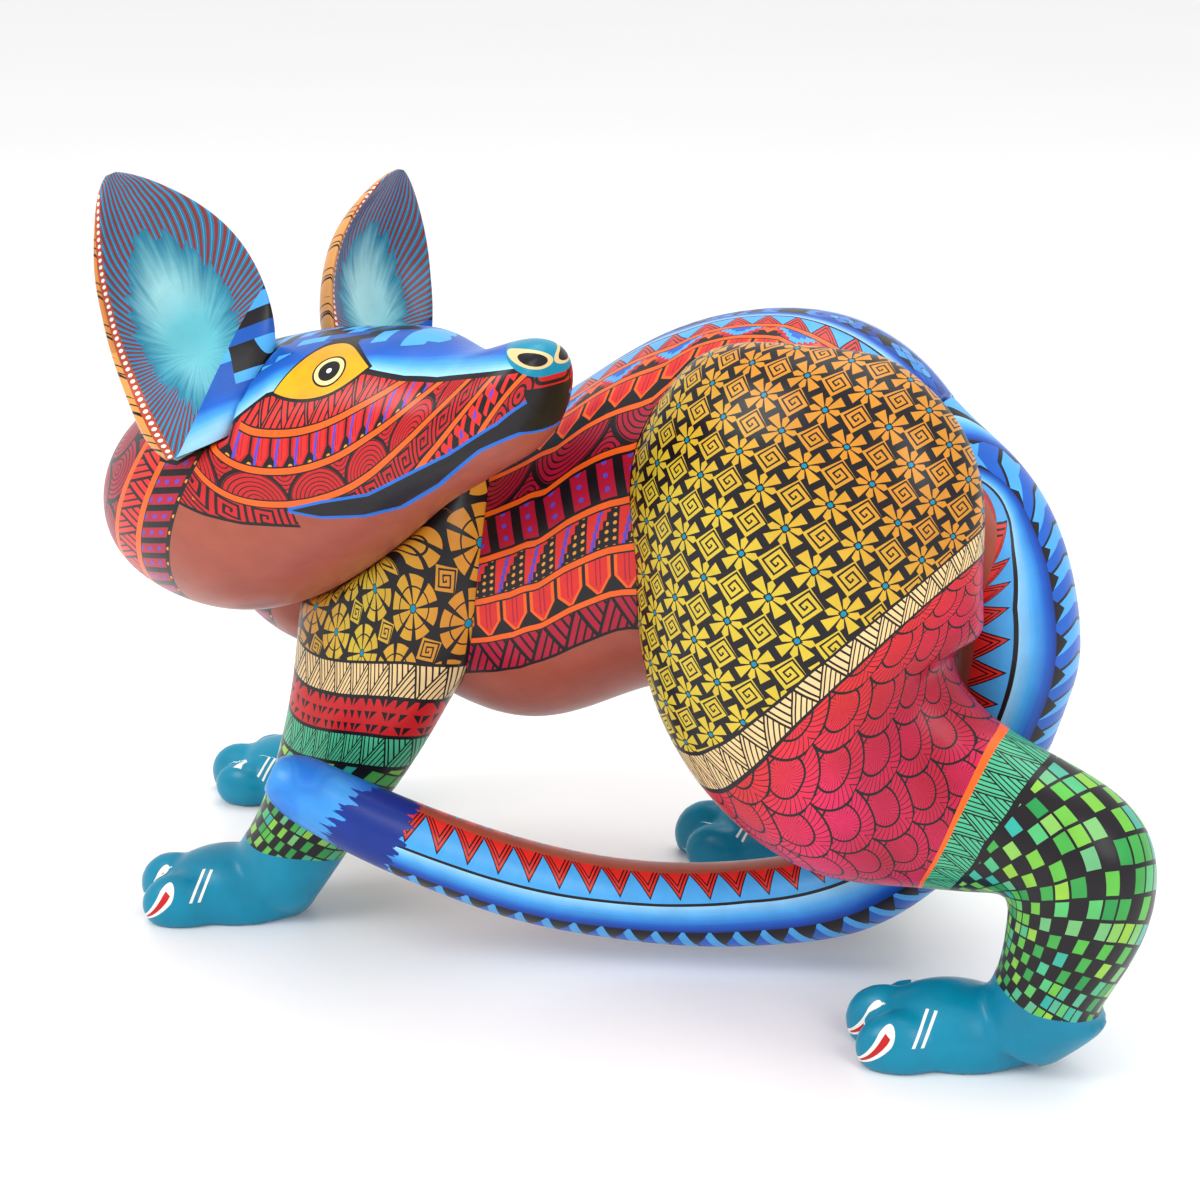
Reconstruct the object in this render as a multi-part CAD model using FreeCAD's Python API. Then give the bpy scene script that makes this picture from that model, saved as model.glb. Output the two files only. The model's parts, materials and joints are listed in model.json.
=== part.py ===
import FreeCAD, Part
import math
import os

# A carved wooden animal, in millimetres. While the shapes are made, +Z is up, the animal faces -X, its left side
# is -Y and the middle plane of the trunk is y = 0. The finished model is then moved so that its origin is at the
# middle of its box, on the ground.

V = FreeCAD.Vector
UP = V(0, 0, 1)

# Driving dimensions
SEAM_X = -48.0            # where the neck joins the trunk
TAIL_SEAT_X = 124.0       # where the tail meets the rump
JOINT_GAP = 0.3           # air between the tail and its seat on the rump
POCKET_GAP = 0.7          # air between an ear and its pocket in the head
POCKET_FRONT = 2.0        # extra air in front of an ear, whose base swells there
POCKET_SECTIONS = 6       # how many of an ear's sections its pocket follows
PEG_CLEARANCE = 0.08      # radial clearance of a loose peg in its socket
LEG_SEAT = 24.0           # distance from the middle plane to the flat inner face of each leg
EAR_PEG_RADIUS = 4.0
EAR_PEG_IN_HEAD = 16.0
EAR_PEG_IN_EAR = 12.0
TAIL_PEG_RADIUS = 6.0
TAIL_PEG_IN_TRUNK = 22.0
TAIL_PEG_IN_TAIL = 14.0
TAIL_PEG_HEIGHT = 150.0
NECK_DOWEL_RADIUS = 7.0
NECK_DOWEL_HEIGHT = 107.0
NECK_DOWEL_LENGTH = 56.0
LEG_DOWEL_RADIUS = 5.0
LEG_DOWEL_LENGTH = 32.0
NAIL_RADIUS = 0.9
NAIL_LENGTH = 30.0
NAIL_HEAD_RADIUS = 1.9
NAIL_HEAD_LENGTH = 1.0
NAIL_HEAD_OUT = 20.0      # how far outside the flat inner face of a leg its nail head lies
SOCKET_RELIEF = 0.5       # extra depth past the end of a loose peg
RING_POINTS = 12
RIM_INSET = 2.5           # how far inside an ear's edge its hollow starts

# Trunk, as upright sections: x, underside, back, half width
TRUNK = [
    (SEAM_X, 73, 141, 35),
    (-25, 69, 149, 41),
    (5, 65, 164, 45),
    (35, 78, 184, 47),
    (65, 86, 195, 47),
    (90, 91, 196, 43),
    (108, 101, 190, 34),
    (119, 114, 182, 26),
    (TAIL_SEAT_X, 122, 177, 21),
]

# Head and curled neck, as upright sections along the snout line: distance ahead of the eyes, underside, top,
# half width, and how much wider the top is than the bottom
HEAD_TURN = math.radians(-15)
EYE_MIDDLE = V(-15, -66, 189)
HEAD = [
    (-101, 127, 146, 9, 0.0),
    (-97, 116, 155, 20, 0.0),
    (-87, 109, 164, 32, 0.0),
    (-73, 105, 173, 39, 0.0),
    (-57, 104, 182, 42, 0.0),
    (-40, 108, 188, 42, 0.0),
    (-20, 119, 193, 38, 0.05),
    (0, 134, 196, 32, 0.05),
    (15, 146, 197, 27, 0.0),
    (29, 155, 194, 23, -0.05),
    (42, 163, 197, 19, -0.05),
    (51, 169, 200, 16, -0.05),
    (57, 177, 200, 12, 0.0),
    (60.5, 187, 197, 5, 0.0),
]

# Neck root, from a shallow tenon in the trunk to the curl: centre, direction, half width, half height
NECK = [
    (V(SEAM_X + 4, 0, 107), V(-1, 0, 0), 32.5, 31.5),
    (V(-56, -0.5, 108.5), V(-1, -0.03, 0.05), 36, 34.5),
    (V(-67, -2, 111), V(-1, -0.1, 0.1), 37, 35),
    (V(-80, -6, 114), V(-1, -0.3, 0.15), 36, 33),
    (V(-93, -14, 119), V(-1, -0.6, 0.2), 30, 27),
    (V(-102, -19, 122), V(-1, -0.6, 0.2), 17, 16),
]

# Legs: centre, half size in the plane of the leg, half thickness. The last centre is at the ankle.
LEFT_HIND_LEG = [
    (V(91, -28, 193), 12, 8),
    (V(91, -30, 187), 32, 18),
    (V(93, -33, 172), 45, 25),
    (V(96, -35, 152), 51, 28),
    (V(98, -36, 132), 50, 28),
    (V(101, -38, 110), 50, 26),
    (V(109, -39, 92), 46, 24),
    (V(122, -40, 81), 39, 22),
    (V(140, -40, 75), 29, 20),
    (V(161, -41, 71), 22, 19),
    (V(179, -42, 64), 21, 18),
    (V(180, -42, 44), 18.5, 17),
    (V(174, -42, 24), 15.5, 15.5),
    (V(166, -41, 9), 13, 13.5),
]
RIGHT_HIND_LEG = [
    (V(78, 28, 170), 12, 8),
    (V(78, 30, 165), 26, 18),
    (V(79, 33, 152), 37, 25),
    (V(82, 36, 134), 42, 28),
    (V(85, 38, 115), 41, 27),
    (V(90, 41, 96), 36, 24),
    (V(97, 45, 79), 29, 21),
    (V(101, 50, 62), 24, 18),
    (V(97, 54, 45), 20, 17),
    (V(86, 56, 27), 17, 16),
    (V(76, 57, 10), 15, 14),
]
LEFT_FRONT_LEG = [
    (V(-30, -26, 158), 10, 8),
    (V(-29, -30, 150), 24, 16),
    (V(-28, -34, 132), 30, 21),
    (V(-30, -36, 110), 31, 21),
    (V(-37, -37, 90), 27, 20),
    (V(-43, -39, 71), 23, 18),
    (V(-49, -41, 56), 20, 16),
    (V(-58, -42, 38), 16.5, 15),
    (V(-67, -43, 22), 15, 14),
    (V(-74, -44, 9), 13, 12),
]
RIGHT_FRONT_LEG = [
    (V(-26, 26, 152), 10, 8),
    (V(-28, 30, 144), 24, 16),
    (V(-33, 34, 128), 30, 21),
    (V(-41, 36, 108), 31, 21),
    (V(-52, 37, 88), 27, 19),
    (V(-65, 38, 69), 23, 18),
    (V(-78, 39, 51), 20, 16),
    (V(-90, 40, 34), 16.5, 15),
    (V(-99, 40, 20), 15, 14),
    (V(-105, 40, 9), 13, 12),
]

# Paws: ankle on the ground, turn of the paw outwards from straight ahead in degrees, size
PAWS = {
    "left_hind_leg": (V(165, -40, 0), 14, 0.86),
    "right_hind_leg": (V(72, 58, 0), 3, 0.92),
    "left_front_leg": (V(-70, -42, 0), 20, 0.85),
    "right_front_leg": (V(-101, 40, 0), 3, 0.85),
}
# Each toe: ahead of the ankle, outwards, half length, half width, height
TOES = [
    (36, 13, 15, 9.0, 19),
    (42, -4, 14, 8.5, 20),
    (34, -16, 12, 7.0, 17),
]

# Dowel centre of each leg, as x and z, and the same for its nail
LEG_FIXINGS = {
    "left_hind_leg": (97, 140, 108, 118),
    "right_hind_leg": (84, 132, 94, 112),
    "left_front_leg": (-28, 112, -36, 92),
    "right_front_leg": (-32, 122, -40, 102),
}

# Root of the tail, as sections across the middle plane: outer edge x and z, inner edge x and z, half width.
# The first one lies inside the rump, and the seat is cut flat after it.
TAIL_ROOT = [
    (112, 184, 112, 124, 24),
    (TAIL_SEAT_X, 177, TAIL_SEAT_X, 122, 21),
    (141, 163, 127, 117, 20.5),
    (158, 141, 130, 110, 19.5),
]
# The rest of the tail, to its tip: centre and radius
TAIL = [
    (V(147.5, 0, 108), 18.7),
    (V(146, 0, 95), 18),
    (V(143, 0, 82), 17),
    (V(134, -2, 62), 16),
    (V(120, -4, 42), 15),
    (V(102, -8, 27), 14),
    (V(82, -14, 21), 13),
    (V(60, -22, 19), 12.5),
    (V(38, -32, 21), 12),
    (V(16, -44, 27), 12),
    (V(-5, -55, 36), 11.5),
    (V(-22, -64, 45), 11),
    (V(-38, -71, 54), 10.2),
    (V(-48, -75, 60), 8.2),
    (V(-52, -76.5, 62), 5),
]

# Ears: base centre, direction of the peg, direction the cup faces, side that the crown of the head is on, size
EARS = {
    "right_ear": (V(-57, -84, 166), V(-0.37, -0.10, 0.92), V(0.72, -0.62, 0.30), 1, 1.0),
    "left_ear": (V(-39, -30, 163), V(-0.05, 0.32, 0.94), V(0.92, -0.22, 0.20), -1, 0.91),
}
# Ear sections up the ear: height, half width, depth of the back, front face (negative is hollow) and how far the
# section is moved towards the crown
EAR = [
    (0, 15, 10, 8, -4),
    (8, 20, 12, 8, -2),
    (18, 23, 13.5, 1, 1),
    (30, 24, 14, -6, 3),
    (44, 22.5, 13, -8.5, 4),
    (57, 18, 11, -7, 3.5),
    (68, 11, 7, -3.5, 2),
    (75, 4.5, 3.5, -1, 0.5),
    (77, 1.5, 1.5, 0.5, 0),
]
EAR_BACK_ANGLES = (-90, -60, -30, 0, 30, 60, 90)
EAR_FRONT_ANGLES = (55, 25, 0, -25, -55)


def closed_curve(points):
    curve = Part.BSplineCurve()
    curve.interpolate(points, PeriodicFlag=True)
    return Part.Wire([curve.toShape()])


def ring(centre, across, aloft, half_across, half_aloft, flare=0.0):
    """A smooth closed section; flare makes its upper side wider than its lower side."""
    points = []
    for i in range(RING_POINTS):
        turn = 2 * math.pi * i / RING_POINTS
        side = half_across * math.cos(turn) * (1 + flare * math.sin(turn))
        points.append(centre + across * side + aloft * (half_aloft * math.sin(turn)))
    return closed_curve(points)


def loft(rings):
    return Part.makeLoft(rings, True, False)


def unit(vector):
    return V(vector).normalize()


def path_directions(centres):
    """The direction of a path at each of its points, from the points beside it."""
    last = len(centres) - 1
    return [unit(centres[min(i + 1, last)] - centres[max(i - 1, 0)]) for i in range(last + 1)]


def cylinder(radius, length, start, direction):
    return Part.makeCylinder(radius, length, start, unit(direction))


def egg(centre, half_sizes, turn_degrees):
    """An ellipsoid turned about +Z."""
    matrix = FreeCAD.Matrix()
    matrix.scale(half_sizes[0], half_sizes[1], half_sizes[2])
    matrix.rotateZ(math.radians(turn_degrees))
    matrix.move(centre)
    return Part.makeSphere(1.0).transformGeometry(matrix)


def trunk_body():
    rings = []
    for x, low, high, half_width in TRUNK:
        middle = V(x, 0, (low + high) / 2)
        rings.append(ring(middle, V(0, 1, 0), UP, half_width, (high - low) / 2))
    return loft(rings)


def head_frame():
    ahead = V(math.cos(HEAD_TURN), math.sin(HEAD_TURN), 0)
    return ahead, UP.cross(ahead)


def head_body():
    ahead, left = head_frame()
    rings = []
    for distance, low, high, half_width, flare in HEAD:
        middle = EYE_MIDDLE + ahead * distance
        middle.z = (low + high) / 2
        rings.append(ring(middle, left, UP, half_width, (high - low) / 2, flare))
    return loft(rings)


def neck_root():
    rings = []
    for centre, direction, half_width, half_height in NECK:
        heading = unit(direction)
        across = unit(UP.cross(heading))
        rings.append(ring(centre, across, heading.cross(across), half_width, half_height))
    return loft(rings)


def limb(stations):
    """A leg without its paw, lofted through sections square to its path."""
    centres = [centre for centre, in_plane, thickness in stations]
    rings = []
    for (centre, in_plane, thickness), heading in zip(stations, path_directions(centres)):
        across = unit(V(0, 1, 0).cross(heading))
        aside = unit(heading.cross(across))
        rings.append(ring(centre, across, aside, in_plane, thickness))
    return loft(rings)


def paw(name):
    """A heel, an instep and three toes. The outermost toe is on the side away from the trunk."""
    ankle, turn, size = PAWS[name]
    outside = -1 if name.startswith("left") else 1
    heading = 180 - turn * outside
    ahead = V(math.cos(math.radians(heading)), math.sin(math.radians(heading)), 0)
    outward = V(0, outside, 0) - ahead * (ahead.y * outside)
    lumps = [
        egg(ankle + ahead * 3 * size + V(0, 0, 9), (15 * size, 13 * size, 13 * size), heading),
        egg(ankle + ahead * 20 * size + V(0, 0, 7), (26 * size, 18 * size, 17 * size), heading),
    ]
    for forward, sideways, half_length, half_width, height in TOES:
        centre = ankle + ahead * forward * size + outward * sideways * size + V(0, 0, 6)
        splay = heading - math.copysign(8, sideways) * outside
        lumps.append(egg(centre, (half_length * size, half_width * size, height * size - 6), splay))
    whole = lumps[0]
    for lump in lumps[1:]:
        whole = whole.fuse(lump)
    return whole


def below_ground():
    return Part.makeBox(1000, 1000, 300, V(-500, -500, -300))


def leg(name, stations):
    """A leg with its paw, flat on the ground and flat where it meets the trunk."""
    shape = limb(stations).fuse(paw(name))
    inside = Part.makeBox(1000, 2 * LEG_SEAT, 400, V(-500, -LEG_SEAT, 30))
    return shape.cut([below_ground(), inside])


def tail_body():
    side = V(0, 1, 0)
    rings = []
    for outer_x, outer_z, inner_x, inner_z, half_width in TAIL_ROOT:
        outer = V(outer_x, 0, outer_z)
        inner = V(inner_x, 0, inner_z)
        middle = (outer + inner) * 0.5
        rings.append(ring(middle, side, unit(inner - outer), half_width, (outer - inner).Length / 2))
    centres = [centre for centre, radius in TAIL]
    for (centre, radius), heading in zip(TAIL, path_directions(centres)):
        across = unit(side - heading * heading.dot(side))
        rings.append(ring(centre, across, across.cross(heading), radius, radius))
    rump = Part.makeBox(100, 200, 200, V(TAIL_SEAT_X + JOINT_GAP - 100, -100, 60))
    return loft(rings).cut(rump)


def pocket_sections():
    """Ear sections with no cup, each at least as wide as those below it, so that the ear can lift straight out."""
    low, high, depth, face = 0, 0, 0, EAR[0][3] + POCKET_FRONT
    sections = []
    for height, half_width, back, hollow, lean in EAR[:POCKET_SECTIONS]:
        low = min(low, lean - half_width)
        high = max(high, lean + half_width)
        depth = max(depth, back)
        sections.append((height, (high - low) / 2, depth, face, (high + low) / 2))
    return sections


def ear_body(name, sections, grow=0.0):
    """A cupped leaf, or with its pocket's sections and grow the pocket for its base."""
    base, direction, facing, crown_side, size = EARS[name]
    aloft = unit(direction)
    front = unit(facing - aloft * facing.dot(aloft))
    across = aloft.cross(front)
    rings = []
    for height, half_width, back, face, lean in sections:
        inset = min(RIM_INSET, 0.4 * half_width)
        outline = []
        for degrees in EAR_BACK_ANGLES:
            turn = math.radians(degrees)
            outline.append(((half_width + grow) * math.sin(turn), -(back + grow) * math.cos(turn)))
        for degrees in EAR_FRONT_ANGLES:
            turn = math.radians(degrees)
            depth = 0.6 * inset + face * math.cos(turn) + grow
            outline.append(((half_width + grow - inset) * math.sin(turn), depth))
        lift = height if height > 0 else -grow
        middle = base + (aloft * lift + across * lean * crown_side) * size
        rings.append(closed_curve([middle + (across * a + front * b) * size for a, b in outline]))
    return loft(rings)


def ear_peg(name, clearance=0.0, relief=0.0):
    """The peg of an ear, or with clearance and relief its socket in the head."""
    base, direction = EARS[name][:2]
    aloft = unit(direction)
    start = base - aloft * (EAR_PEG_IN_HEAD + relief)
    return cylinder(EAR_PEG_RADIUS + clearance, EAR_PEG_IN_HEAD + EAR_PEG_IN_EAR + relief, start, aloft)


def tail_peg(clearance=0.0, relief=0.0):
    start = V(TAIL_SEAT_X - TAIL_PEG_IN_TRUNK - relief, 0, TAIL_PEG_HEIGHT)
    length = TAIL_PEG_IN_TRUNK + TAIL_PEG_IN_TAIL + relief
    return cylinder(TAIL_PEG_RADIUS + clearance, length, start, V(1, 0, 0))


def neck_dowel():
    start = V(SEAM_X - NECK_DOWEL_LENGTH / 2, 0, NECK_DOWEL_HEIGHT)
    return cylinder(NECK_DOWEL_RADIUS, NECK_DOWEL_LENGTH, start, V(1, 0, 0))


def leg_dowel(name):
    x, z, nail_x, nail_z = LEG_FIXINGS[name]
    outside = -1 if name.startswith("left") else 1
    start = V(x, outside * (LEG_SEAT - LEG_DOWEL_LENGTH / 2), z)
    return cylinder(LEG_DOWEL_RADIUS, LEG_DOWEL_LENGTH, start, V(0, outside, 0))


def leg_nail(name):
    x, z, nail_x, nail_z = LEG_FIXINGS[name]
    outside = -1 if name.startswith("left") else 1
    head_top = V(nail_x, outside * (LEG_SEAT + NAIL_HEAD_OUT), nail_z)
    inward = V(0, -outside, 0)
    head = cylinder(NAIL_HEAD_RADIUS, NAIL_HEAD_LENGTH, head_top, inward)
    shank = cylinder(NAIL_RADIUS, NAIL_LENGTH, head_top, inward)
    return head.fuse(shank).removeSplitter()


def carve_nodes():
    legs = {
        "left_hind_leg": leg("left_hind_leg", LEFT_HIND_LEG),
        "right_hind_leg": leg("right_hind_leg", RIGHT_HIND_LEG),
        "left_front_leg": leg("left_front_leg", LEFT_FRONT_LEG),
        "right_front_leg": leg("right_front_leg", RIGHT_FRONT_LEG),
    }
    head = head_body().fuse(neck_root())
    nodes = {"trunk": trunk_body().cut([head] + list(legs.values()))}
    for name, shape in legs.items():
        nodes[name] = shape.cut(head)
    nodes["head"] = head
    nodes["tail"] = tail_body()
    for name in EARS:
        nodes[name] = ear_body(name, EAR)
        nodes["head"] = nodes["head"].cut(ear_body(name, pocket_sections(), POCKET_GAP))
    return nodes


def add_fixings(nodes):
    """Pegs, dowels and nails, each with its hole in the two pieces that it joins."""
    for name in EARS:
        nodes["head"] = nodes["head"].cut(ear_peg(name, PEG_CLEARANCE, SOCKET_RELIEF))
        peg = ear_peg(name)
        nodes[name] = nodes[name].cut(peg)
        nodes[name + "_peg"] = peg
    nodes["trunk"] = nodes["trunk"].cut(tail_peg(PEG_CLEARANCE, SOCKET_RELIEF))
    nodes["tail_peg"] = tail_peg()
    nodes["tail"] = nodes["tail"].cut(nodes["tail_peg"])
    nodes["neck_dowel"] = neck_dowel()
    nodes["trunk"] = nodes["trunk"].cut(nodes["neck_dowel"])
    nodes["head"] = nodes["head"].cut(nodes["neck_dowel"])
    nails = []
    for name in LEG_FIXINGS:
        dowel = leg_dowel(name)
        nail = leg_nail(name)
        nodes[name] = nodes[name].cut([dowel, nail])
        nodes["trunk"] = nodes["trunk"].cut([dowel, nail])
        nodes[name.replace("leg", "dowel")] = dowel
        nails.append(nail)
    nodes["leg_nails"] = Part.makeCompound(nails)


def main():
    nodes = carve_nodes()
    add_fixings(nodes)
    box = Part.makeCompound(list(nodes.values())).optimalBoundingBox(False, False)
    to_origin = V(-(box.XMin + box.XMax) / 2, -(box.YMin + box.YMax) / 2, 0)
    print("moved by", to_origin)
    os.makedirs("parts", exist_ok=True)
    for name, shape in nodes.items():
        shape.translate(to_origin)
        print(name, shape.isValid(), len(shape.Solids), round(shape.Volume / 1000, 1))
        shape.exportStep(f"parts/{name}.step")


main()
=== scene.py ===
import math

import bmesh
import bpy
import numpy as np
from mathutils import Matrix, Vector
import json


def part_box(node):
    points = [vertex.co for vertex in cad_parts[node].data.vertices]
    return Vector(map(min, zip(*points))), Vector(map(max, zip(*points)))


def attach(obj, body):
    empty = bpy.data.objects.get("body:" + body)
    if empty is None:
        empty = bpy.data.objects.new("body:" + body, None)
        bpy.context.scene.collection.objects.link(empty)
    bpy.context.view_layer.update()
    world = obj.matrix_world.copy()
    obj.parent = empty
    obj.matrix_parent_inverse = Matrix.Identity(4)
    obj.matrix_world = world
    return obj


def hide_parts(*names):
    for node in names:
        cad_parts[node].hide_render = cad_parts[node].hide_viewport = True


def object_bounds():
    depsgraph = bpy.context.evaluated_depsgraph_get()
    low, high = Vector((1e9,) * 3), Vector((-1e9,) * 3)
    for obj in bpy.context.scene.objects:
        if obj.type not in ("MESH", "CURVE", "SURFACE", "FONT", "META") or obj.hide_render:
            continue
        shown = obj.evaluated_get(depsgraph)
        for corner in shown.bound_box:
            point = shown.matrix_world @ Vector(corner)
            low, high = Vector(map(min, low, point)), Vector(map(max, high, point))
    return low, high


# A carved and painted wooden animal. The frame is in metres, and lengths on painted surfaces are in
# millimetres.
# Each painted piece copies its CAD node and carries coordinates of its own, such as turns round a leg and
# millimetres along it. Its paint is drawn in them.

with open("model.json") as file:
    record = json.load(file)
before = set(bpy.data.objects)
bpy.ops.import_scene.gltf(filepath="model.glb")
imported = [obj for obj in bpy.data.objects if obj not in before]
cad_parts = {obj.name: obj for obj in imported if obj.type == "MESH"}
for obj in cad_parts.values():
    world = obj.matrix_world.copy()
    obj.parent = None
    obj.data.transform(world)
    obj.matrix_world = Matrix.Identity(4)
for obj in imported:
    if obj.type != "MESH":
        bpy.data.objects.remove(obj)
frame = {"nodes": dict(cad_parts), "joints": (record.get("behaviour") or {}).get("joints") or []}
CAD_LOW, CAD_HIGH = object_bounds()
MM = 1000.0
UP = np.array((0.0, 0.0, 1.0))
LEFTWARD = np.array((0.0, -1.0, 0.0))

# Camera: degrees round and above the figure, distance in figure lengths, and the point looked at in
# shares of the box
CAMERA_ROUND = 25.0
CAMERA_ABOVE = 18.0
CAMERA_DISTANCE = 2.4
CAMERA_LOOKS_AT = (0.4248, 0.7815, 0.3705)
CAMERA_LENS = 78.75

# Head axis: the snout points this many degrees away from +X
HEAD_TURN = -15.0


# -------- meshes

def points_of(mesh):
    """Vertex places in millimetres."""
    flat = np.zeros(len(mesh.vertices) * 3, np.float32)
    mesh.vertices.foreach_get("co", flat)
    return flat.reshape(-1, 3).astype(float) * MM


def normals_of(mesh):
    flat = np.zeros(len(mesh.vertices) * 3, np.float32)
    mesh.vertex_normals.foreach_get("vector", flat)
    return flat.reshape(-1, 3).astype(float)


def box_of(node):
    low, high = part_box(node)
    return np.array(low) * MM, np.array(high) * MM


def place_in(node, shares):
    """A point given as shares of a node's box."""
    low, high = box_of(node)
    return low + (high - low) * np.array(shares)


def put(mesh, name, values):
    kind = "FLOAT" if values.ndim == 1 else "FLOAT_VECTOR"
    layer = mesh.attributes.new(name, kind, "POINT")
    layer.data.foreach_set("value" if values.ndim == 1 else "vector", values.astype(np.float32).ravel())


def put_turn(mesh, turn, along):
    """Turns round the piece and millimetres along it, kept per corner so that the seam is clean."""
    corner = np.zeros(len(mesh.loops), np.int32)
    mesh.loops.foreach_get("vertex_index", corner)
    start = np.zeros(len(mesh.polygons), np.int32)
    total = np.zeros(len(mesh.polygons), np.int32)
    mesh.polygons.foreach_get("loop_start", start)
    mesh.polygons.foreach_get("loop_total", total)
    face = np.repeat(np.arange(len(start)), total)
    around = turn[corner]
    first = around[start][face]
    around = around - np.round(around - first)
    layer = mesh.uv_layers.new(name="turn")
    layer.data.foreach_set("uv", np.stack([around, along[corner]], 1).astype(np.float32).ravel())


def keep_largest(mesh):
    """Leaves only the outer skin of a remeshed solid."""
    shape = bmesh.new()
    shape.from_mesh(mesh)
    left = set(shape.verts)
    islands = []
    while left:
        seed = min(left, key=lambda vertex: vertex.index)
        left.discard(seed)
        found, edge = [seed], [seed]
        while edge:
            vertex = edge.pop()
            for link in vertex.link_edges:
                other = link.other_vert(vertex)
                if other in left:
                    left.discard(other)
                    found.append(other)
                    edge.append(other)
        islands.append(found)
    islands.sort(key=len)
    for island in islands[:-1]:
        bmesh.ops.delete(shape, geom=island, context="VERTS")
    shape.to_mesh(mesh)
    shape.free()


def skin(node, name, voxel=None, smoothing=0, hold=None):
    """A new piece with the shape of a CAD node. With a voxel size in millimetres its creases are
    softened, and hold(points) gives how free each vertex is to move, from 0 to 1."""
    piece = bpy.data.objects.new(name, frame["nodes"][node].data.copy())
    piece.data.name = name
    bpy.context.scene.collection.objects.link(piece)
    if voxel:
        remesh = piece.modifiers.new("remesh", "REMESH")
        remesh.mode = "VOXEL"
        remesh.voxel_size = voxel / MM
        apply_modifiers(piece)
        keep_largest(piece.data)
        group = piece.vertex_groups.new(name="free")
        freedom = np.ones(len(piece.data.vertices)) if hold is None else hold(points_of(piece.data))
        for step in range(11):
            chosen = np.nonzero(np.round(freedom * 10) == step)[0]
            group.add(chosen.tolist(), step / 10, "REPLACE")
        smooth = piece.modifiers.new("smooth", "SMOOTH")
        smooth.factor = 0.5
        smooth.iterations = smoothing
        smooth.vertex_group = "free"
        apply_modifiers(piece)
        piece.vertex_groups.clear()
    piece.data.materials.clear()
    piece.data.shade_smooth()
    return piece


def finish_piece(piece, body, slot, *nodes):
    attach(piece, body)
    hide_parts(*nodes)


def apply_modifiers(piece):
    graph = bpy.context.evaluated_depsgraph_get()
    fresh = bpy.data.meshes.new_from_object(piece.evaluated_get(graph))
    piece.modifiers.clear()
    piece.data = fresh


# -------- coordinates on the carved surface

STATION = 4.0             # millimetres between the points of a path
CHUNK = 4000              # points handled at once, to save memory


def ease(values, rounds):
    """Evens out a row of numbers or points, but not its ends."""
    for _ in range(rounds):
        values[1:-1] = (values[:-2] + 2 * values[1:-1] + values[2:]) / 4


def smooth_path(corners):
    """A path through given corners, as evenly spaced points."""
    corners = np.array(corners, float)
    lengths = np.concatenate([[0], np.cumsum(np.linalg.norm(np.diff(corners, axis=0), axis=1))])
    count = max(int(lengths[-1] / STATION), 4)
    even = np.linspace(0, lengths[-1], count)
    path = np.stack([np.interp(even, lengths, corners[:, k]) for k in range(3)], 1)
    ease(path, 12)
    return path


def directions_of(path):
    heading = np.gradient(path, axis=0)
    return heading / np.linalg.norm(heading, axis=1)[:, None]


def nearest(points, path):
    found = np.zeros(len(points), int)
    for first in range(0, len(points), CHUNK):
        part = points[first:first + CHUNK]
        found[first:first + CHUNK] = ((part[:, None] - path[None]) ** 2).sum(2).argmin(1)
    return found


def centred_path(points, corners, rounds=4):
    """Moves a rough path to the middle of the solid that it runs through."""
    path = smooth_path(corners)
    for _ in range(rounds):
        heading = directions_of(path)
        owner = nearest(points, path)
        moved = path.copy()
        for i in range(1, len(path) - 1):
            own = points[owner == i]
            if len(own) > 8:
                shift = (own.min(0) + own.max(0)) / 2 - path[i]
                moved[i] = path[i] + shift - heading[i] * (shift @ heading[i])
        ease(moved, 6)
        path = smooth_path(moved)
    return path


def unroll(points, path, aside, blur=10.0):
    """Millimetres along the path, turns round it from the direction aside, and the local half sizes."""
    heading = directions_of(path)
    station = np.concatenate([[0], np.cumsum(np.linalg.norm(np.diff(path, axis=0), axis=1))])
    outward = aside - heading * (heading @ aside)[:, None] if aside.ndim == 1 else aside
    outward = outward / np.linalg.norm(outward, axis=1)[:, None]
    across = np.cross(outward, heading)
    along = np.zeros(len(points))
    centre = np.zeros_like(points)
    out_now = np.zeros_like(points)
    across_now = np.zeros_like(points)
    for first in range(0, len(points), CHUNK):
        part = points[first:first + CHUNK]
        gap = ((part[:, None] - path[None]) ** 2).sum(2)
        weight = np.exp(-(gap - gap.min(1)[:, None]) / (2 * blur * blur))
        weight /= weight.sum(1)[:, None]
        ahead = ((part[:, None] - path[None]) * heading[None]).sum(2)
        along[first:first + CHUNK] = (weight * (station[None] + ahead)).sum(1)
        centre[first:first + CHUNK] = weight @ path
        out_now[first:first + CHUNK] = weight @ outward
        across_now[first:first + CHUNK] = weight @ across
    offset = points - centre
    high = (offset * out_now).sum(1)
    wide = (offset * across_now).sum(1)
    bins = np.clip((along / STATION).astype(int), 0, int(station[-1] / STATION))
    half_high = np.ones(bins.max() + 1)
    half_wide = np.ones(bins.max() + 1)
    for b in range(bins.max() + 1):
        own = bins == b
        if own.sum() > 4:
            half_high[b] = np.abs(high[own]).max()
            half_wide[b] = np.abs(wide[own]).max()
    ease(half_high, 3)
    ease(half_wide, 3)
    here = (np.arange(len(half_high)) + 0.5) * STATION
    tall = np.interp(along, here, half_high)
    broad = np.interp(along, here, half_wide)
    turn = np.arctan2(wide / broad, high / tall) / (2 * math.pi)
    return along, turn, tall, broad


def settle(mesh, values, rounds):
    """Evens a value out over the mesh, each vertex with its neighbours."""
    ends = np.zeros(len(mesh.edges) * 2, np.int32)
    mesh.edges.foreach_get("vertices", ends)
    first, second = ends.reshape(-1, 2).T
    count = len(mesh.vertices)
    links = np.bincount(first, minlength=count) + np.bincount(second, minlength=count)
    for _ in range(rounds):
        sums = np.bincount(first, values[second], count) + np.bincount(second, values[first], count)
        values = (values + sums / np.maximum(links, 1)) / 2
    return values


# -------- arithmetic in a material's graph

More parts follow.
